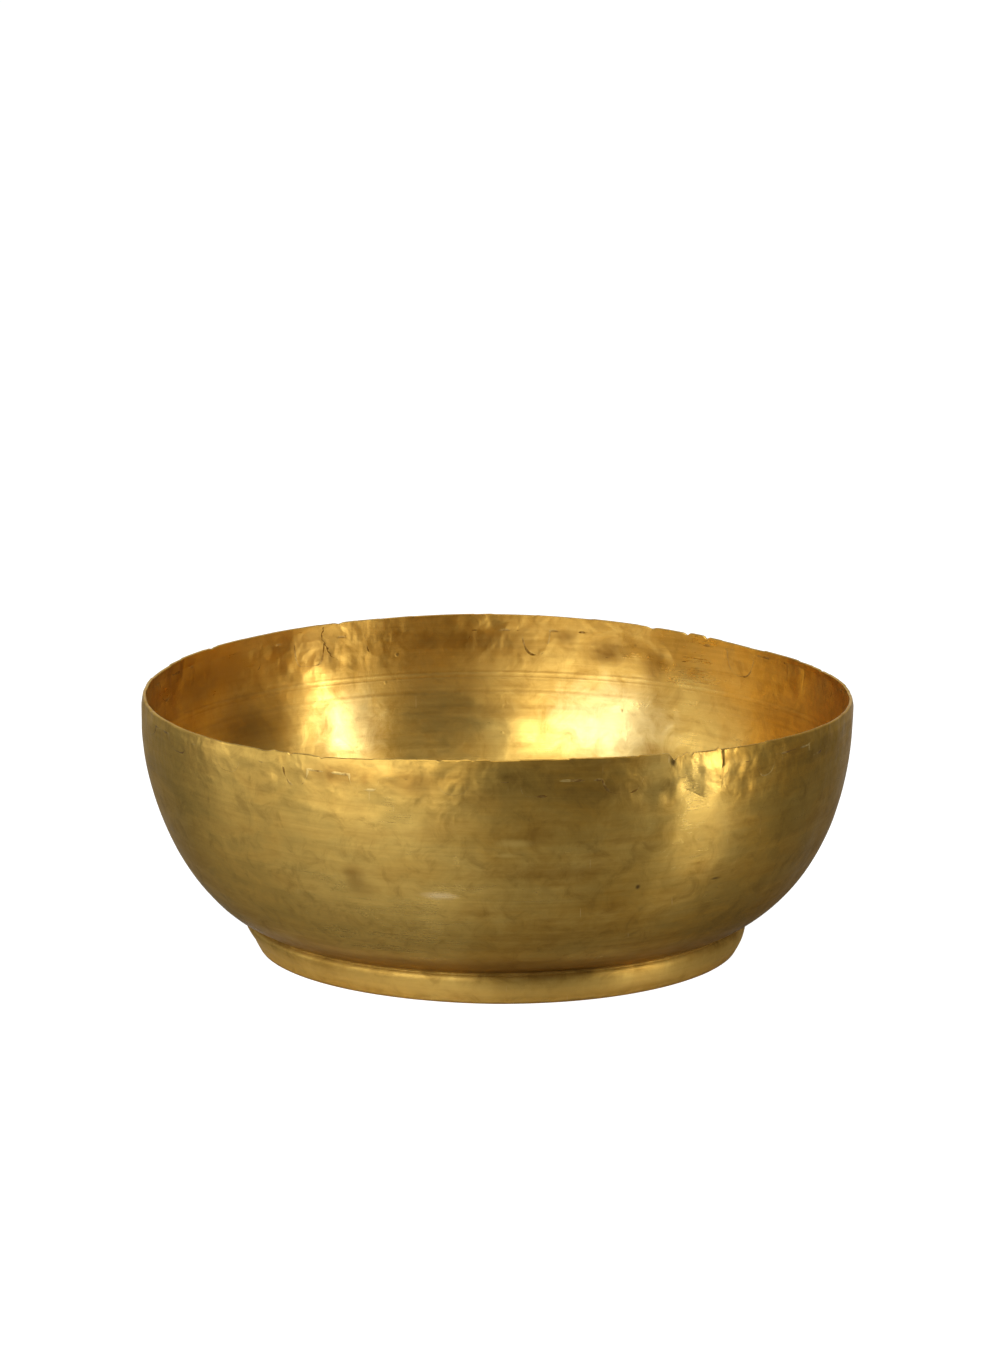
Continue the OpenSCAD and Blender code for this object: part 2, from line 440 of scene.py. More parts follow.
class Nodes:
    """Short ways to add and link the nodes of a material or world"""

    def __init__(self, owner):
        owner.use_nodes = True
        self.tree = owner.node_tree

    def node(self, kind, settings=None, **sockets):
        made = self.tree.nodes.new(kind)
        for key, value in (settings or {}).items():
            setattr(made, key, value)
        for key, value in sockets.items():
            self.feed(made.inputs[key.replace("_", " ")], value)
        return made

    def feed(self, socket, value):
        if isinstance(value, bpy.types.NodeSocket):
            self.tree.links.new(value, socket)
        else:
            socket.default_value = value

    def maths(self, operation, *values):
        made = self.node("ShaderNodeMath", {"operation": operation})
        for socket, value in zip(made.inputs, values):
            self.feed(socket, value)
        return made.outputs[0]

    plus = partialmethod(maths, "ADD")
    minus = partialmethod(maths, "SUBTRACT")
    times = partialmethod(maths, "MULTIPLY")
    larger = partialmethod(maths, "MAXIMUM")

    def vectors(self, operation, *values):
        made = self.node("ShaderNodeVectorMath", {"operation": operation})
        for socket, value in zip(made.inputs, values):
            self.feed(socket, value)
        return made.outputs["Value" if operation == "LENGTH" else "Vector"]

    def remap(self, value, low, high, out_low=0.0, out_high=1.0, soft=True):
        made = self.node("ShaderNodeMapRange",
                         {"interpolation_type": "SMOOTHSTEP" if soft else "LINEAR"})
        for socket, given in zip(made.inputs, (value, low, high, out_low, out_high)):
            self.feed(socket, given)
        return made.outputs[0]

    def mix(self, amount, first, second):
        made = self.node("ShaderNodeMix", {"data_type": "RGBA"})
        self.feed(made.inputs[0], amount)
        self.feed(made.inputs[6], first)
        self.feed(made.inputs[7], second)
        return made.outputs[2]

    def noise(self, vector, scale, detail=4.0, rough=0.55, distort=0.0):
        made = self.node("ShaderNodeTexNoise", None, Vector=vector, Scale=scale, Detail=detail,
                         Roughness=rough, Distortion=distort)
        return made.outputs["Fac"]


class Recipe(Nodes):
    """A new material and its main shader"""

    def __init__(self, name):
        self.material = bpy.data.materials.new(name)
        super().__init__(self.material)
        self.shader = self.tree.nodes["Principled BSDF"]

    def relief(self, strength, distance, height):
        raised = self.node("ShaderNodeBump", None, Strength=strength, Distance=distance,
                           Height=height)
        self.feed(self.shader.inputs["Normal"], raised.outputs[0])


def colour(rgb):
    return (rgb[0], rgb[1], rgb[2], 1.0)


class Brass(Recipe):
    """Worn satin brass. Its patterns come first, then each step lays a layer over the last"""

    def __init__(self, name, tarnish):
        super().__init__(name)
        self.tone = finish()
        self.clean, self.patina = colour(self.tone.clean), colour(self.tone.patina)
        self.tarnish = tarnish
        self.rubbed = self.groove = 0.0
        self.place = self.node("ShaderNodeTexCoord").outputs["Object"]
        self.x, self.y, self.z = self.node("ShaderNodeSeparateXYZ", None, Vector=self.place).outputs

        # Height and radius together grow over wall and floor alike, so lines run round on both
        flat = self.node("ShaderNodeCombineXYZ", None, X=self.x, Y=self.y, Z=0.0).outputs[0]
        climb = self.plus(self.z, self.vectors("LENGTH", flat))
        along = self.node("ShaderNodeCombineXYZ", None, X=self.x, Y=self.y, Z=climb)
        self.along = along.outputs[0]

        # Turning and polishing lines, from fine to broad
        self.fine = self.drawn_out(14, 2600, 3.0)
        self.coarse = self.drawn_out(5, 520, 4.0)
        self.streaks = self.drawn_out(9, 120, 5.0)

        # Tarnish lies in clouds, blotches and small mottles
        self.clouds = self.noise(self.place, 13.0, 5.0, 0.6, 0.4)
        self.blotch = self.drawn_out(26, 58, 5.0, 0.62, 0.5)
        self.mottle = self.noise(self.place, 90.0, 5.0, 0.68, 0.7)
        haze = self.plus(self.times(self.clouds, 0.55), self.times(self.mottle, 0.25))
        self.haze = self.plus(haze, self.times(self.streaks, 0.2))

    def drawn_out(self, across, upward, detail, rough=0.6, distort=0.0):
        """Noise drawn out round the bowl, from its scales round it and up it"""
        drawn = self.vectors("MULTIPLY", self.along, (across, across, upward))
        return self.noise(drawn, 1.0, detail, rough, distort)

    def paint(self, amount, tint):
        self.body = self.mix(amount, self.body, tint)

    def lay_tarnish(self, painted_lit_side):
        """Thin tarnish, then the lit left side painted toward clean brass as painted light, then
        brown, greenish and clean blotches and lines
        """
        dull = self.tarnish
        amount = self.remap(self.haze, 0.46 - 0.25 * dull, 0.76 - 0.25 * dull)
        self.body = self.mix(amount, self.clean, colour(self.tone.worn))
        specks = self.noise(self.place, 420.0, 3.0, 0.6)
        deep = self.remap(self.plus(self.haze, self.times(specks, 0.12)), 0.60, 0.74)
        self.paint(self.times(deep, 0.55 * dull), self.patina)
        # Painted light: the left side, where the main soft box lights the bowl, is painted toward
        # clean brass
        side = self.plus(self.x, self.times(self.clouds, 0.1))
        self.paint(self.remap(side, -0.12, 0.12, painted_lit_side, 0.0), self.clean)
        brown = self.plus(self.blotch, self.times(self.streaks, 0.35))
        self.paint(self.remap(brown, 0.66, 0.84, 0.0, 0.5 * dull), self.patina)
        green = self.minus(self.blotch, self.times(self.mottle, 0.5))
        self.paint(self.remap(green, 0.12, 0.34, 0.5 * dull, 0.0), colour(self.tone.green))
        self.paint(self.remap(self.mottle, 0.50, 0.72, 0.0, 0.6 * dull), self.patina)
        self.paint(self.remap(self.coarse, 0.42, 0.7, 0.0, 0.12), self.patina)
        self.paint(self.remap(self.fine, 0.5, 0.8, 0.0, 0.15), self.clean)

    def lay_pits(self):
        """Small dark pits, only in some zones"""
        cells = self.node("ShaderNodeTexVoronoi", {"feature": "F1"}, Vector=self.place, Scale=85.0,
                          Randomness=1.0).outputs["Distance"]
        zone = self.remap(self.noise(self.place, 11.0, 2.0), 0.63, 0.75)
        edge = self.plus(cells, self.times(self.mottle, 0.12))
        self.pits = self.times(self.remap(edge, 0.08, 0.16, 1.0, 0.0), zone)
        self.paint(self.times(self.pits, 0.5), DIRT)

    def lay_scratches(self):
        """Stray scratches that slant across the turning lines, two ways"""
        steep = self.scratches((0.5, 0.35, 0.2), (900, 60, 70), 0.77, 0.82)
        crossing = self.scratches((-0.35, 0.6, 1.1), (60, 1000, 50), 0.81, 0.86)
        self.paint(self.times(self.larger(steep, crossing), 0.3), BARE)

    def scratches(self, slant, scale, low, high):
        drawn = self.node("ShaderNodeMapping", None, Vector=self.place, Rotation=slant, Scale=scale)
        return self.remap(self.noise(drawn.outputs[0], 1.0, 1.0), low, high)

    def lay_bands(self, bands, tint):
        """Ragged bands round the bowl, of painted shade and of painted highlight: height, half width
        and strength
        """
        height = self.plus(self.z, self.times(self.minus(self.mottle, 0.5), 4.0 * MM))
        for middle, half, strength in bands:
            off = self.maths("ABSOLUTE", self.minus(height, middle))
            self.paint(self.remap(off, half * 0.3, half, strength, 0.0), tint)

    def lay_marks(self, marks):
        """Rubbed patches, stains, knocks, painted shade and painted highlights at known places. The
        pale ones, the painted highlights among them, are rubbed smooth
        """
        for turned, z, radius, wide, high, tint, strength in marks:
            a = radians(turned)
            spot = (radius * MM * cos(a), radius * MM * sin(a), z * MM)
            spread = (1 / (wide * MM), 1 / (wide * MM), 1 / (high * MM))
            off = self.vectors("MULTIPLY", self.vectors("SUBTRACT", self.place, spot), spread)
            uneven = self.plus(self.vectors("LENGTH", off), self.mottle)
            seen = self.remap(uneven, 0.6, 1.6, strength, 0.0)
            self.paint(seen, tint)
            pale = tint[0] > 0.5
            if pale:
                self.rubbed = self.larger(self.rubbed, seen)

    def lay_spun_lines(self, spun):
        """Narrow grooves that come and go round the bowl: height, half width and strength"""
        for middle, half, strength in spun:
            off = self.maths("ABSOLUTE", self.minus(self.z, middle))
            line = self.remap(off, 0.0, half, strength, 0.0)
            line = self.times(line, self.remap(self.clouds, 0.38, 0.56, 0.35, 1.0))
            self.paint(self.times(line, 0.55), self.patina)
            self.groove = self.larger(self.groove, line)

    def polish(self, roughness):
        """A satin shine drawn out by the turning lines, rougher where tarnished or pitted"""
        shader = self.shader.inputs
        self.feed(shader["Base Color"], self.body)
        shader["Metallic"].default_value = 1.0
        shader["Specular Tint"].default_value = (0.92, 0.79, 0.60, 1.0)
        shader["Anisotropic"].default_value = self.tone.brushing
        shader["Anisotropic Rotation"].default_value = 0.25
        tangent = self.node("ShaderNodeTangent", {"direction_type": "RADIAL", "axis": "Z"})
        self.feed(shader["Tangent"], tangent.outputs[0])
        base = self.tone.roughness + roughness
        rough = self.remap(self.haze, 0.35, 0.7, base - 0.06, base + 0.13, False)
        rough = self.plus(rough, self.remap(self.blotch, 0.35, 0.65, -0.05, 0.07, False))
        rough = self.plus(rough, self.remap(self.fine, 0.3, 0.7, -0.04, 0.04, False))
        rough = self.plus(rough, self.times(self.pits, 0.3))
        rough = self.minus(rough, self.times(self.rubbed, 0.07))
        self.feed(shader["Roughness"], self.larger(rough, 0.12))

    def work_surface(self, lines):
        """Relief of the lines, the soft orange peel of planishing, the pits and the grooves"""
        height = self.times(self.fine, 0.010 * lines)
        height = self.plus(height, self.times(self.coarse, 0.025 * lines))
        height = self.plus(height, self.times(self.streaks, 0.04 * lines))
        height = self.plus(height, self.times(self.mottle, 0.20))
        hammered = self.noise(self.place, 150.0, 1.0, 0.5, 0.3)
        near_rim = self.times(self.remap(self.z, 85 * MM, 112 * MM, 0.15, 0.75),
                              self.remap(self.clouds, 0.36, 0.6, 0.35, 1.0))
        height = self.plus(height, self.times(hammered, near_rim))
        height = self.minus(height, self.times(self.pits, 0.2))
        height = self.minus(height, self.times(self.groove, 0.25))
        self.relief(0.6, MM, height)


def brass(name, tarnish, roughness=0.0, lines=1.0, painted_lit_side=0.0, spun=(), painted_shade_bands=(),
          painted_highlight_bands=(), marks=()):
    """Brass with its own mix of tarnish, turning lines, bands and marks"""
    metal = Brass(name, tarnish)
    metal.lay_tarnish(painted_lit_side)
    metal.lay_pits()
    metal.lay_scratches()
    metal.lay_bands(painted_shade_bands, metal.patina)
    metal.lay_bands(painted_highlight_bands, metal.clean)
    metal.lay_marks(marks)
    metal.lay_spun_lines(spun)
    metal.polish(roughness)
    metal.work_surface(lines)
    return metal.material


def braze_metal(name):
    """Dull, lumpy braze, paler than the sheet, with dark scale"""
    tone = finish()
    mix = Recipe(name)
    place = mix.node("ShaderNodeTexCoord").outputs["Object"]
    lumps = mix.noise(place, 260.0, 5.0, 0.6)
    scale = mix.noise(place, 55.0, 5.0, 0.65, 0.5)
    body = mix.mix(mix.remap(scale, 0.38, 0.6), colour(tone.braze), colour(tone.patina))
    body = mix.mix(mix.remap(lumps, 0.55, 0.72, 0.0, 0.6), body, DIRT)
    mix.feed(mix.shader.inputs["Base Color"], body)
    mix.shader.inputs["Metallic"].default_value = 1.0
    mix.feed(mix.shader.inputs["Roughness"], mix.remap(lumps, 0.3, 0.7, 0.32, 0.58, False))
    mix.relief(0.7, 0.3 * MM, lumps)
    return mix.material


# ---- Operators: one for each piece, and one for the stage ----

class OBJECT_OT_bowl_shell(bpy.types.Operator):
    """Make the beaten shell, from its joint edge down to the floor"""
    bl_idname = "object.bowl_shell"
    bl_label = "Beaten Shell"

    def execute(self, context):
        size = sizes()
        sheet = Sheet()
        columns = 600
        angle = full_turn(columns)
        start, end = 0.15 * MM, sheet.length - 0.5 * MM
        seat = sheet.run_at_radius(FOOT_EDGE_RADIUS)
        outside = runs_down((start, 24 * MM, 20), (24 * MM, seat, 34), (seat, end, 22))
        # Rows lie closer together where the spun lines are
        above, below = sheet.run_at_height(np.array([97 * MM, 78 * MM]))
        inside = runs_down((start, above, 16), (above, below, 24), (below, seat, 24),
                           (seat, end, 18))
        rows = np.concatenate([outside[::-1], inside])
        lift = np.concatenate([np.zeros(len(outside)), np.full(len(inside), -size.sheet)])
        run = np.broadcast_to(rows, (columns, len(rows))).copy()
        r, z = sheet.point(angle, run, np.broadcast_to(lift, run.shape))
        inner = lift < 0
        for height in SPUN_RIDGES:
            r[:, inner] -= 0.035 * MM * bump(z[:, inner], height, 1.4 * MM)
        points = ring_points(angle, r, z)
        floor = np.array([[0, 0, z[0, 0]], [0, 0, z[0, -1]]])
        faces = bowl_faces(columns, len(rows))
        shell = make_piece(
            "Bowl_Body", np.concatenate([points, floor]), faces,
            [bowl_outside("Brass_Body_Outside"), bowl_inside("Brass_Body_Inside")],
            ["bowl_shell"])
        inside_face = np.zeros(len(faces), dtype=np.int32)
        quads = columns * (len(rows) - 1)
        inside_face[:quads] = np.tile(np.arange(len(rows) - 1) >= len(outside) - 1, columns)
        inside_face[quads + 1::2] = 1
        shell.data.polygons.foreach_set("material_index", inside_face)
        return {"FINISHED"}


# Marks hold an angle in degrees, then the height, radius, half width and half height in
# millimetres, then a tint and its strength

def bowl_outside(name):
    """Brass of the outside, painted lighter on its lit left side, with stains and painted shade under
    the rim, painted shade in the deepest nicks and on the lower body by the foot
    """
    pale, stain_and_shade = colour(finish().clean), colour(finish().patina)
    marks = (
        (273.0, 85.5, 161.4, 11, 2.6, pale, 0.8),
        (271.5, 80.0, 160.4, 6, 1.6, pale, 0.7),
        (261.0, 60.0, 154.7, 9, 2.2, SCRAPED, 0.8),
        # Painted shade: the two dark marks at the deepest nicks stand in for shade in the folded sheet
        (297.9, 118.0, 163.6, 2.2, 3.2, SOOT_AND_NICK_SHADE, 0.95),
        (300.0, 119.5, 163.6, 0.9, 2.2, SOOT_AND_NICK_SHADE, 0.9),
        (246.8, 66.0, 156.4, 6, 9, stain_and_shade, 0.4),
        (293.5, 62.0, 155.4, 1.5, 1.5, SOOT_AND_NICK_SHADE, 0.9),
        (308.5, 60.5, 154.8, 3.6, 0.9, SOOT_AND_NICK_SHADE, 0.8),
        (247.8, 61.0, 155.0, 9, 7, stain_and_shade, 0.35),
        (246.2, 68.0, 157.4, 6, 3, stain_and_shade, 0.35),
        (244.0, 112.0, 163.6, 2.6, 4, stain_and_shade, 0.5),
        (249.8, 111.5, 163.6, 2.6, 4, stain_and_shade, 0.5),
        (268.0, 104.0, 163.4, 16, 7, stain_and_shade, 0.2),
        (287.0, 108.0, 163.4, 26, 7, stain_and_shade, 0.25),
        (301.0, 106.0, 163.4, 9, 14, pale, 0.5),
        (303.0, 113.0, 163.5, 9, 9, pale, 0.7),
        (303.5, 98.0, 163.0, 17, 24, pale, 0.5),
        # Painted shade: two broad dark patches under the rim that dim the top of the left highlight
        (245.0, 113.0, 163.6, 26, 8, stain_and_shade, 0.6),
        (257.0, 112.5, 163.6, 18, 8, stain_and_shade, 0.5),
    )
    # Painted shade: a dark band on the lower body where it curves in to the foot, and a thin one under
    # the rim
    return brass(name, tarnish=0.6, lines=0.8, painted_lit_side=0.75, marks=marks,
                 painted_shade_bands=((SHELL_LOW.z + 6 * MM, 12 * MM, 0.9), (108 * MM, 5 * MM, 0.1)))


def bowl_inside(name):
    """Brighter brass of the inside, with its spun lines, dark stains at the back, painted shade on the
    left wall and painted highlights at the two hot spots
    """
    stain_and_shade = colour(finish().patina)
    marks = (
        (70.5, 104.5, 162.1, 14, 8, stain_and_shade, 0.75),
        (78.0, 111.0, 162.3, 8, 5, stain_and_shade, 0.6),
        (62.0, 100.0, 162.0, 9, 12, stain_and_shade, 0.45),
        (65.5, 109.0, 162.2, 1.4, 1.4, SOOT_AND_NICK_SHADE, 0.9),
        (122.0, 104.0, 162.3, 13, 6, stain_and_shade, 0.5),
        (102.0, 108.0, 162.3, 9, 5, stain_and_shade, 0.4),
        (90.0, 74.0, 157.0, 34, 6, stain_and_shade, 0.3),
        # Painted shade: this patch and the one at 150 degrees darken the inside left wall
        (140.0, 76.0, 157.0, 34, 16, stain_and_shade, 0.6),
        (125.0, 112.0, 162.3, 24, 8, stain_and_shade, 0.5),
        (92.0, 108.0, 162.3, 30, 8, stain_and_shade, 0.5),
        (150.0, 104.0, 162.3, 40, 16, stain_and_shade, 0.5),
        # Painted highlights: cream patches at the two hot spots low on the inside back wall
        (68.5, 71.0, 156.0, 38, 26, PAINTED_HIGHLIGHT_CREAM, 0.65),
        (117.0, 72.0, 155.5, 22, 26, PAINTED_HIGHLIGHT_CREAM, 0.38),
    )
    return brass(name, tarnish=0.24, roughness=0.01, lines=1.0, marks=marks,
                 spun=((92.6 * MM, 1.1 * MM, 0.36), (90.2 * MM, 0.8 * MM, 0.25),
                       (83.0 * MM, 1.5 * MM, 0.4)))


class OBJECT_OT_rim_band(bpy.types.Operator):
    """Make the rim band with its raw edge, lapped end and tongues"""
    bl_idname = "object.rim_band"
    bl_label = "Rim Band"

    def execute(self, context):
        size = sizes()
        sheet = Sheet()
        columns = 1440
        angle = full_turn(columns)
        out_reach, out_proud = Tongues(True).reach(angle)
        in_reach, in_proud = Tongues(False).reach(angle)
        top = -(rim_height(angle) - size.joint_height)
        lap_edge = lap_step(angle)

        # Rows from the raw edge to the tongues' tips, closer together at the tips
        steps = np.concatenate([np.linspace(0, 0.86, 13, endpoint=False), np.linspace(0.86, 1, 4)])
        out_run = top[:, None] + (out_reach - top)[:, None] * steps
        out_lift = out_proud[:, None] * stands_proud(out_run) + lap_edge[:, None]
        in_run = top[:, None] + (in_reach - top)[:, None] * steps
        in_lift = -size.sheet - in_proud[:, None] * stands_proud(in_run)

        # The raw edge is rounded over a little, more to the outside
        round_over = 0.32 * MM
        edge_run = np.stack([top - round_over * w for w in (0.75, 1.0, 0.8)], axis=1)
        edge_lift = [-size.sheet * (1 - w) + lap_edge * w for w in (0.25, 0.55, 0.82)]
        edge_lift = np.stack(edge_lift, axis=1)

        # Between the tongues the band's lower edge sits on the braze film
        film_edge = np.full(columns, -size.film)
        seat_run = np.stack([out_reach, film_edge, film_edge, in_reach], axis=1)
        seat_lift = np.tile([0, 0, -size.sheet, -size.sheet], (columns, 1))

        run = np.concatenate([out_run, seat_run, in_run[:, ::-1], edge_run], axis=1)
        lift = np.concatenate([out_lift, seat_lift, in_lift[:, ::-1], edge_lift], axis=1)
        r, z = sheet.point(angle, run, lift)
        rows = run.shape[1]
        band = make_piece("Rim_Band", ring_points(angle, r, z), loop_faces(columns, rows),
                          [bowl_outside("Brass_Rim_Outside"), bowl_inside("Brass_Rim_Inside")],
                          ["rim_band"])
        inward = (np.arange(rows) >= len(steps) + 1) & (np.arange(rows) < rows - 3)
        band.data.polygons.foreach_set("material_index", np.tile(inward.astype(np.int32), columns))
        return {"FINISHED"}


def stands_proud(run):
    """0 on the band, and 1 on the tongues, which stand off the shell"""
    return smooth(-4.5 * MM, 0.5 * MM, run)


def lap_step(angle):
    """Extra thickness where the band's outer end lies over its inner end"""
    size = sizes()
    pitch = tau / size.tongue_pairs
    start = size.tongue_phase + size.lap_tongue * pitch
    off = turn(angle, start)
    wide = pitch * 0.5
    return 0.55 * MM * smooth(-0.02, wide, off) * smooth(-0.004, 0.004, wide - off)


class OBJECT_OT_rim_braze(bpy.types.Operator):
    """Make the braze film and the braze lines round the tongues"""
    bl_idname = "object.rim_braze"
    bl_label = "Rim Braze"

    def execute(self, context):
        size = sizes()
        sheet = Sheet()
        columns = 720
        angle = full_turn(columns)
        film_run = np.array([0, -size.film, -size.film, 0])
        film_lift = np.array([0, 0, -size.sheet, -size.sheet])
        shape = (columns, 4)
        r, z = sheet.point(angle, np.broadcast_to(film_run, shape).copy(),
                           np.broadcast_to(film_lift, shape))
        points = [ring_points(angle, r, z)]
        faces = loop_faces(columns, 4)
        count = columns * 4
        beads = [self.braze_line(sheet, True), self.braze_line(sheet, False), self.crack(sheet)]
        for line, line_faces in beads:
            points.append(line)
            faces += [[v + count for v in face] for face in line_faces]
            count += len(line)
        make_piece("Rim_Braze", np.concatenate(points), faces,
                   [braze_metal("Braze_Rim")], ["rim_braze"])
        return {"FINISHED"}

    def braze_line(self, sheet, outside):
        """A thin fillet that follows the tongues' outline, fuller in some places than others"""
        size = sizes()
        fine = full_turn(14400)
        reach, proud = Tongues(outside).reach(fine)
        r = size.belly_radius
        closed_angle, closed_reach = np.append(fine, tau), np.append(reach, reach[0])
        steps = np.hypot(np.diff(closed_angle) * r, np.diff(closed_reach))
        length = np.concatenate([[0], np.cumsum(steps)])
        count = int(length[-1] / (0.9 * MM))
        at = np.arange(count) * length[-1] / count
        angle = np.interp(at, length, closed_angle)
        run = np.interp(at, length, closed_reach)
        along_a = turn(np.roll(angle, -1), np.roll(angle, 1)) * r
        along_run = np.roll(run, -1) - np.roll(run, 1)
        span = np.hypot(along_a, along_run) + 1e-9
        side_a, side_run = -along_run / span, along_a / span
        swell = np.sin(angle * 9 + 1) + 0.8 * np.sin(angle * 31 + at * 200) + 0.5 * np.sin(at * 900)
        # Next to the deepest nick the braze has gone
        swell = smooth(0.1, 1.5, swell) * (1 - bump(turn(angle, radians(299)), 0, 0.1))
        half = (0.25 + 0.55 * swell) * MM
        tall = (0.012 + 0.042 * swell) * MM + 0.4 * np.interp(angle, fine, proud)
        return self.bead(sheet, angle, run, side_a, side_run, half, tall, outside, True)

    def crack(self, sheet):
        """A run of solder over a crack inside, from the rim down past the joint"""
        count = 40
        way = np.linspace(0, 1, count)
        stops = (0, 0.3, 0.6, 0.85, 1)
        angle = np.radians(np.interp(way, stops, (121.0, 121.5, 120.5, 119.8, 118.5)))
        angle += 0.002 * np.sin(way * 37)
        height = np.interp(way, stops, (119.5, 114.5, 109.5, 105, 102.5)) * MM
        run = sheet.run_at_height(height)
        side_a, side_run = np.ones(count), np.zeros(count)
        fade = np.sin(pi * np.clip(way * 0.95 + 0.03, 0, 1)) ** 0.5
        half = (0.45 + 0.25 * np.sin(way * 51)) * fade * MM
        tall = 0.16 * fade * MM
        return self.bead(sheet, angle, run, side_a, side_run, half, tall, False, False)

    def bead(self, sheet, angle, run, side_a, side_run, half, tall, outside, closed):
        """A low rounded bead swept along a path on one face of the sheet"""
        size = sizes()
        r, count, sides = size.belly_radius, len(angle), 8
        section = np.linspace(0, tau, sides, endpoint=False)
        across = half[:, None] * np.cos(section)
        # The bead's middle lies just under the face, so that it blends in
        up = tall[:, None] * np.sin(section) - 0.025 * MM
        face = 0 if outside else -size.sheet
        sign = 1 if outside else -1
        all_angle = (angle[:, None] + side_a[:, None] * across / r).reshape(-1)
        all_run = (run[:, None] + side_run[:, None] * across).reshape(-1, 1)
        all_lift = (face + sign * up).reshape(-1, 1)
        rr, zz = sheet.point(all_angle, all_run, all_lift)
        faces = loop_faces(count, sides)
        if not closed:
            last = (count - 1) * sides
            faces = faces[:last] + [list(range(sides))[::-1], list(range(last, last + sides))]
        return ring_points(all_angle, rr, zz), faces


class OBJECT_OT_foot_ring(bpy.types.Operator):
    """Make the foot band with its bulging side and rounded shoulder"""
    bl_idname = "object.foot_ring"
    bl_label = "Foot Ring"

    def execute(self, context):
        sheet = Sheet()
        columns = 720
        angle = full_turn(columns)
        r, z, crease = foot_section(sheet)
        r = np.broadcast_to(r, (columns, len(r))).copy()
        z = np.broadcast_to(z, r.shape).copy()
        r += foot_wander(angle, z)
        # Painted shade in the crease above the bend, a painted shadow along the lower edge, and a
        # painted highlight band across the middle of the side
        metal = brass("Brass_Foot", tarnish=0.5, roughness=0.2,
                      painted_shade_bands=((crease, 1.6 * MM, 0.4), (0.0, 1.4 * MM, 0.6)),
                      painted_highlight_bands=((7.5 * MM, 5 * MM, 0.5),))
        make_piece("Foot_Ring", ring_points(angle, r, z), loop_faces(columns, r.shape[1]),
                   [metal], ["foot_ring"])
        return {"FINISHED"}


def foot_section(sheet):
    """Radii and heights round the foot band's section: up the side, over the bend, in along the
    lip, and back down inside. Then the height of the crease above the bend"""
    size = sizes()
    wall, bend, top_r, low = size.foot_wall, size.foot_bend, FOOT_HIGH.x, 0.5 * MM
    bend_r = top_r - bend
    bend_z = seat_height(sheet, bend_r) - bend
    side_z = low + (bend_z - low) * np.linspace(0, 1, 16)
    side_r = size.foot_radius + (top_r - size.foot_radius) * np.sin(side_z / bend_z * pi / 2)
    turned = np.linspace(0, radians(62), 10)[1:]
    over_r = bend_r + bend * np.cos(turned)
    over_z = bend_z + bend * np.sin(turned)
    # Braze that ran out of the joint softens the crease above the bend
    crease_r = over_r[-1] + np.array([0.0, 0.3, 1.0, 1.9]) * MM
    shell_z = seat_height(sheet, crease_r[-1])
    crease_z = over_z[-1] + (shell_z - over_z[-1]) * np.array([0.28, 0.52, 0.78, 1])
    turned = np.linspace(0, pi / 2, 7)[:0:-1]
    under_r = bend_r + (bend - wall) * np.cos(turned)
    under_z = bend_z + (bend - wall) * np.sin(turned)
    lip_r = bend_r - FOOT_LIP
    lip_z = seat_height(sheet, lip_r)
    # The lower edge is filed round
    inner_r = side_r[0] - wall
    toe_r = [inner_r + 0.15 * MM, inner_r + 0.5 * MM, side_r[0] - 0.55 * MM, side_r[0] - 0.2 * MM]
    toe_z = [0.12 * MM, 0.0, 0.0, 0.13 * MM]
    r = np.concatenate([side_r, over_r, crease_r, [lip_r, lip_r], under_r, side_r[::-2] - wall, toe_r])
    z = np.concatenate([side_z, over_z, crease_z, [lip_z, lip_z - wall], under_z, side_z[::-2], toe_z])
    return r, z, float(crease_z[2])


def seat_height(sheet, radius):
    return float(np.interp(-radius, -sheet.r, sheet.z))


def foot_wander(angle, z):
    """The foot band is a little out of round and dented, less so under the shell"""
    a = angle[:, None]
    mean_radius = 115 * MM
    low = 1 - smooth(5 * MM, 13 * MM, z)
    away = low * (0.25 * np.cos(2 * a + 1) + 0.15 * np.cos(5 * a)) * MM
    away = away - low * 2.4 * MM * np.clip(-np.cos(a), 0, 1)
    dice = random.Random(77)
    for _ in range(90):
        off = turn(a, dice.uniform(0, tau)) * mean_radius
        spread = dice.uniform(3, 9) * MM
        depth = dice.gauss(0, 0.07) * MM
        dent = np.exp(-(off ** 2 + (z - dice.uniform(1, 12) * MM) ** 2) / spread ** 2)
        away = away - depth * dent * smooth(0, 2 * MM, 14 * MM - z)
    return away


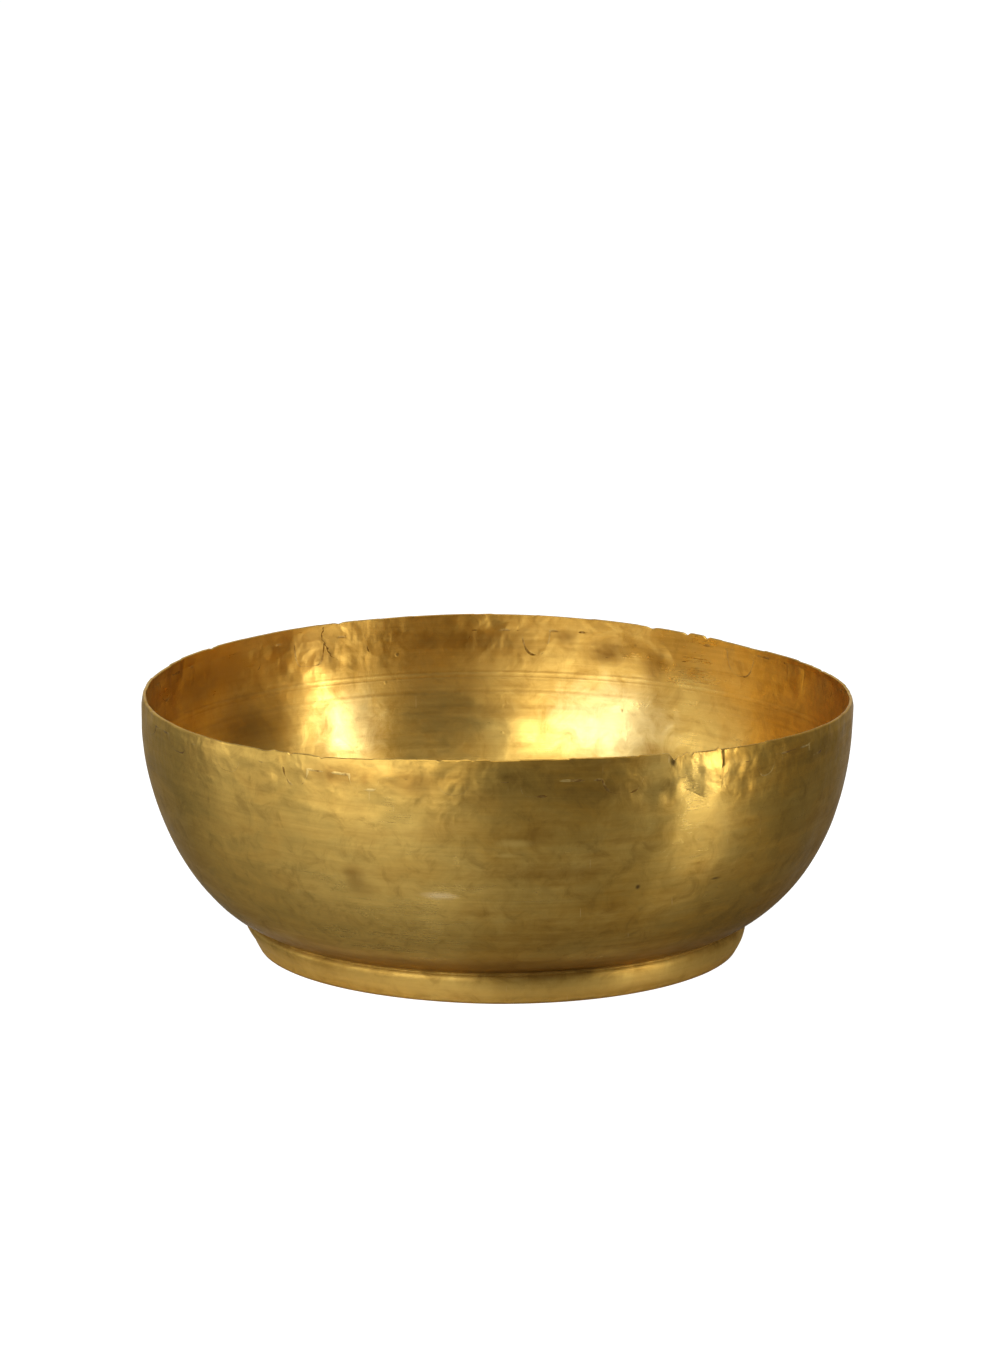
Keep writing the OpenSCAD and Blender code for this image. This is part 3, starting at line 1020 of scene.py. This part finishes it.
class OBJECT_OT_foot_braze(bpy.types.Operator):
    """Make the braze fillet inside the foot, under the shell"""
    bl_idname = "object.foot_braze"
    bl_label = "Foot Braze"

    def execute(self, context):
        size = sizes()
        sheet = Sheet()
        columns = 540
        angle = full_turn(columns)
        lip_r = FOOT_HIGH.x - size.foot_bend - FOOT_LIP
        wave = 0.5 + 0.5 * np.sin(angle * 19 + 0.7) * np.sin(angle * 7)
        reach = (2.0 + 1.4 * wave + 0.3 * np.sin(angle * 43)) * MM
        lap = (0.8 + 0.5 * wave + 0.2 * np.sin(angle * 31 + 2)) * MM
        under = seat_height(sheet, lip_r) - size.foot_wall
        part = np.linspace(0, 1, 7)
        run_r = lip_r - reach[:, None] * part
        top_z = np.interp(-run_r, -sheet.r, sheet.z)
        tip_r, tip_z = run_r[:, -1:], top_z[:, -1:]
        lap_r, lap_z = lip_r + lap[:, None], under - 0.02 * MM
        back = part[1:-1]
        belly_r = tip_r + (lap_r - tip_r) * back
        sag = 0.45 * MM * np.sin(pi * back)
        belly_z = tip_z + (lap_z - tip_z) * back - sag
        end = np.ones((columns, 1))
        r = np.concatenate([run_r, belly_r, lap_r, end * lip_r], axis=1)
        z = np.concatenate([top_z, belly_z, end * lap_z, end * under], axis=1)
        make_piece("Foot_Braze", ring_points(angle, r, z), loop_faces(columns, r.shape[1]),
                   [braze_metal("Braze_Foot")], ["foot_braze"])
        return {"FINISHED"}


# Soft boxes: name, angle to the left of the camera in degrees, distance along the floor and
# height in metres, width and height of the box in metres, power in watts
LIGHTS = (
    ("Softbox_Left", 36.5, 0.50, 0.33, (0.38, 0.54), 2.8),
    ("Strip_Left", 11, 0.50, 0.45, (0.12, 0.45), 0.9),
    ("Fill_Left", 82, 0.9, 0.40, (0.5, 0.76), 2.3),
    ("Softbox_Right", -65, 1.0, 0.55, (0.10, 1.0), 7.8),
    ("Overhead_Fill", 0, 0.25, 2.2, (1.6, 1.2), 22),
)
# The camera: a long lens a little above the bowl, aimed so that the bowl stands low in the frame
LENS_MM, SENSOR_MM = 140.5, 36.0
CAMERA_DISTANCE = 2.458
CAMERA_TILT = radians(13.49)
CAMERA_ROLL = radians(0.267)
AIM_DOWN, AIM_UP, AIM_RIGHT = 1.1 * MM, 60.8 * MM, 1.8 * MM


class SCENE_OT_studio(bpy.types.Operator):
    """Set up the pale floor, the soft lights and the camera"""
    bl_idname = "scene.bowl_studio"
    bl_label = "Studio"

    def execute(self, context):
        make_floor()
        make_world()
        for light in LIGHTS:
            soft_light(*light)
        make_camera(context)
        context.scene.view_settings.view_transform = "Standard"
        return {"FINISHED"}


def make_floor():
    """A wide pale floor that shows white, and that the brass mirrors as a darker sheet"""
    mesh = bpy.data.meshes.new("Studio_Floor")
    reach = 30
    corners = [(-reach, -reach, 0), (reach, -reach, 0), (reach, reach, 0), (-reach, reach, 0)]
    mesh.from_pydata(corners, [], [(0, 1, 2, 3)])
    floor = bpy.data.objects.new("Studio_Floor", mesh)
    floor.location.z = -0.05 * MM
    bpy.context.scene.collection.objects.link(floor)
    mix = Recipe("Floor_Pale")
    mix.tree.nodes.remove(mix.shader)
    seen = mix.node("ShaderNodeLightPath").outputs["Is Camera Ray"]
    paper = mix.node("ShaderNodeBsdfDiffuse", None, Color=(0.3, 0.3, 0.3, 1)).outputs[0]
    glow = mix.node("ShaderNodeEmission", None, Color=WHITE, Strength=0.95).outputs[0]
    lit = mix.node("ShaderNodeAddShader")
    mix.feed(lit.inputs[0], paper)
    mix.feed(lit.inputs[1], glow)
    # Seen in the brass, the floor carries painted light: a pale pool by the foot, darker further out,
    # and dimmer level with the bowl than in front and behind. It is shiny enough to mirror the soft
    # boxes
    place = mix.node("ShaderNodeTexCoord").outputs["Object"]
    out = mix.vectors("LENGTH", place)
    painted_light_pool = mix.larger(mix.remap(out, 0.117, 0.135, 0.85, 0.0), mix.remap(out, 0.18, 0.45, 0.28, 0.32))
    depth = mix.node("ShaderNodeSeparateXYZ", None, Vector=place).outputs[1]
    behind = mix.larger(mix.remap(depth, -0.14, 0.08, 1.0, 0.48),
                        mix.remap(depth, 0.12, 0.6, 0.0, 0.9))
    painted_light_pool = mix.times(painted_light_pool, behind)
    grey = mix.node("ShaderNodeCombineColor", None, Red=painted_light_pool, Green=painted_light_pool, Blue=painted_light_pool).outputs[0]
    sheen = mix.node("ShaderNodeBsdfPrincipled", None, Base_Color=grey, Roughness=0.34, IOR=1.6)
    choose = mix.node("ShaderNodeMixShader")
    for socket, value in zip(choose.inputs, (seen, sheen.outputs[0], lit.outputs[0])):
        mix.feed(socket, value)
    mix.feed(mix.tree.nodes["Material Output"].inputs["Surface"], choose.outputs[0])
    mesh.materials.append(mix.material)


def make_world():
    """White behind the bowl, dim in front of it"""
    world = bpy.data.worlds.new("Studio_World")
    bpy.context.scene.world = world
    mix = Nodes(world)
    place = mix.node("ShaderNodeTexCoord").outputs["Generated"]
    depth = mix.node("ShaderNodeSeparateXYZ", None, Vector=place).outputs[1]
    seen = mix.node("ShaderNodeLightPath").outputs["Is Camera Ray"]
    back = mix.tree.nodes["Background"].inputs
    shade = mix.remap(depth, -0.1, 0.9, 0.14, 0.8, False)
    mix.feed(back["Strength"], mix.larger(shade, seen))
    back["Color"].default_value = WHITE


def soft_light(name, azimuth, distance, height, size, watts):
    """A soft box that faces the bowl: level where it is low, tilted down where it hangs high"""
    lamp = bpy.data.lights.new(name, "AREA")
    lamp.shape = "RECTANGLE"
    lamp.size, lamp.size_y = size
    lamp.energy = watts
    box = bpy.data.objects.new(name, lamp)
    bpy.context.scene.collection.objects.link(box)
    a = radians(azimuth)
    box.location = Vector((-sin(a) * distance, -cos(a) * distance, height))
    look = Vector((0, 0, 0.08)) - box.location
    if height < 1:
        look.z = 0
    box.rotation_mode = "QUATERNION"
    box.rotation_quaternion = look.to_track_quat("-Z", "Y")


def make_camera(context):
    data = bpy.data.cameras.new("Camera")
    data.lens, data.sensor_width, data.clip_end = LENS_MM, SENSOR_MM, 100
    camera = bpy.data.objects.new("Camera", data)
    context.scene.collection.objects.link(camera)
    target = Vector((0, 0, (CAD_LOW.z + CAD_HIGH.z) / 2 - AIM_DOWN))
    away = Vector((0, -cos(CAMERA_TILT), sin(CAMERA_TILT)))
    camera.location = target + away * CAMERA_DISTANCE
    up = Vector((0, sin(CAMERA_TILT), cos(CAMERA_TILT)))
    aim = target + up * AIM_UP + Vector((AIM_RIGHT, 0, 0))
    look = (aim - camera.location).to_track_quat("-Z", "Y")
    roll = Matrix.Rotation(CAMERA_ROLL, 4, "Z").to_quaternion()
    camera.rotation_mode = "QUATERNION"
    camera.rotation_quaternion = look @ roll
    context.scene.camera = camera


# ---- Panel and registration ----

class VIEW3D_PT_brass_bowl(bpy.types.Panel):
    """Buttons and sizes for the brass bowl"""
    bl_label = "Brass Bowl"
    bl_idname = "VIEW3D_PT_brass_bowl"
    bl_space_type = "VIEW_3D"
    bl_region_type = "UI"
    bl_category = "Brass Bowl"

    def draw(self, context):
        layout = self.layout
        for group in (context.scene.bowl_sizes, context.scene.bowl_finish):
            column = layout.column(align=True)
            for name in group.__annotations__:
                column.prop(group, name)
        for step in STEPS:
            layout.operator(step.bl_idname)


STEPS = (
    OBJECT_OT_bowl_shell,
    OBJECT_OT_rim_band,
    OBJECT_OT_rim_braze,
    OBJECT_OT_foot_ring,
    OBJECT_OT_foot_braze,
    SCENE_OT_studio,
)
CLASSES = (BowlSizes, BowlFinish) + STEPS + (VIEW3D_PT_brass_bowl,)


def register():
    for one in CLASSES:
        bpy.utils.register_class(one)
    bpy.types.Scene.bowl_sizes = PointerProperty(type=BowlSizes)
    bpy.types.Scene.bowl_finish = PointerProperty(type=BowlFinish)


def unregister():
    del bpy.types.Scene.bowl_finish
    del bpy.types.Scene.bowl_sizes
    for one in reversed(CLASSES):
        bpy.utils.unregister_class(one)


def main():
    register()
    bpy.ops.object.bowl_shell()
    bpy.ops.object.rim_band()
    bpy.ops.object.rim_braze()
    bpy.ops.object.foot_ring()
    bpy.ops.object.foot_braze()
    bpy.ops.scene.bowl_studio()


if __name__ == "__main__":
    main()
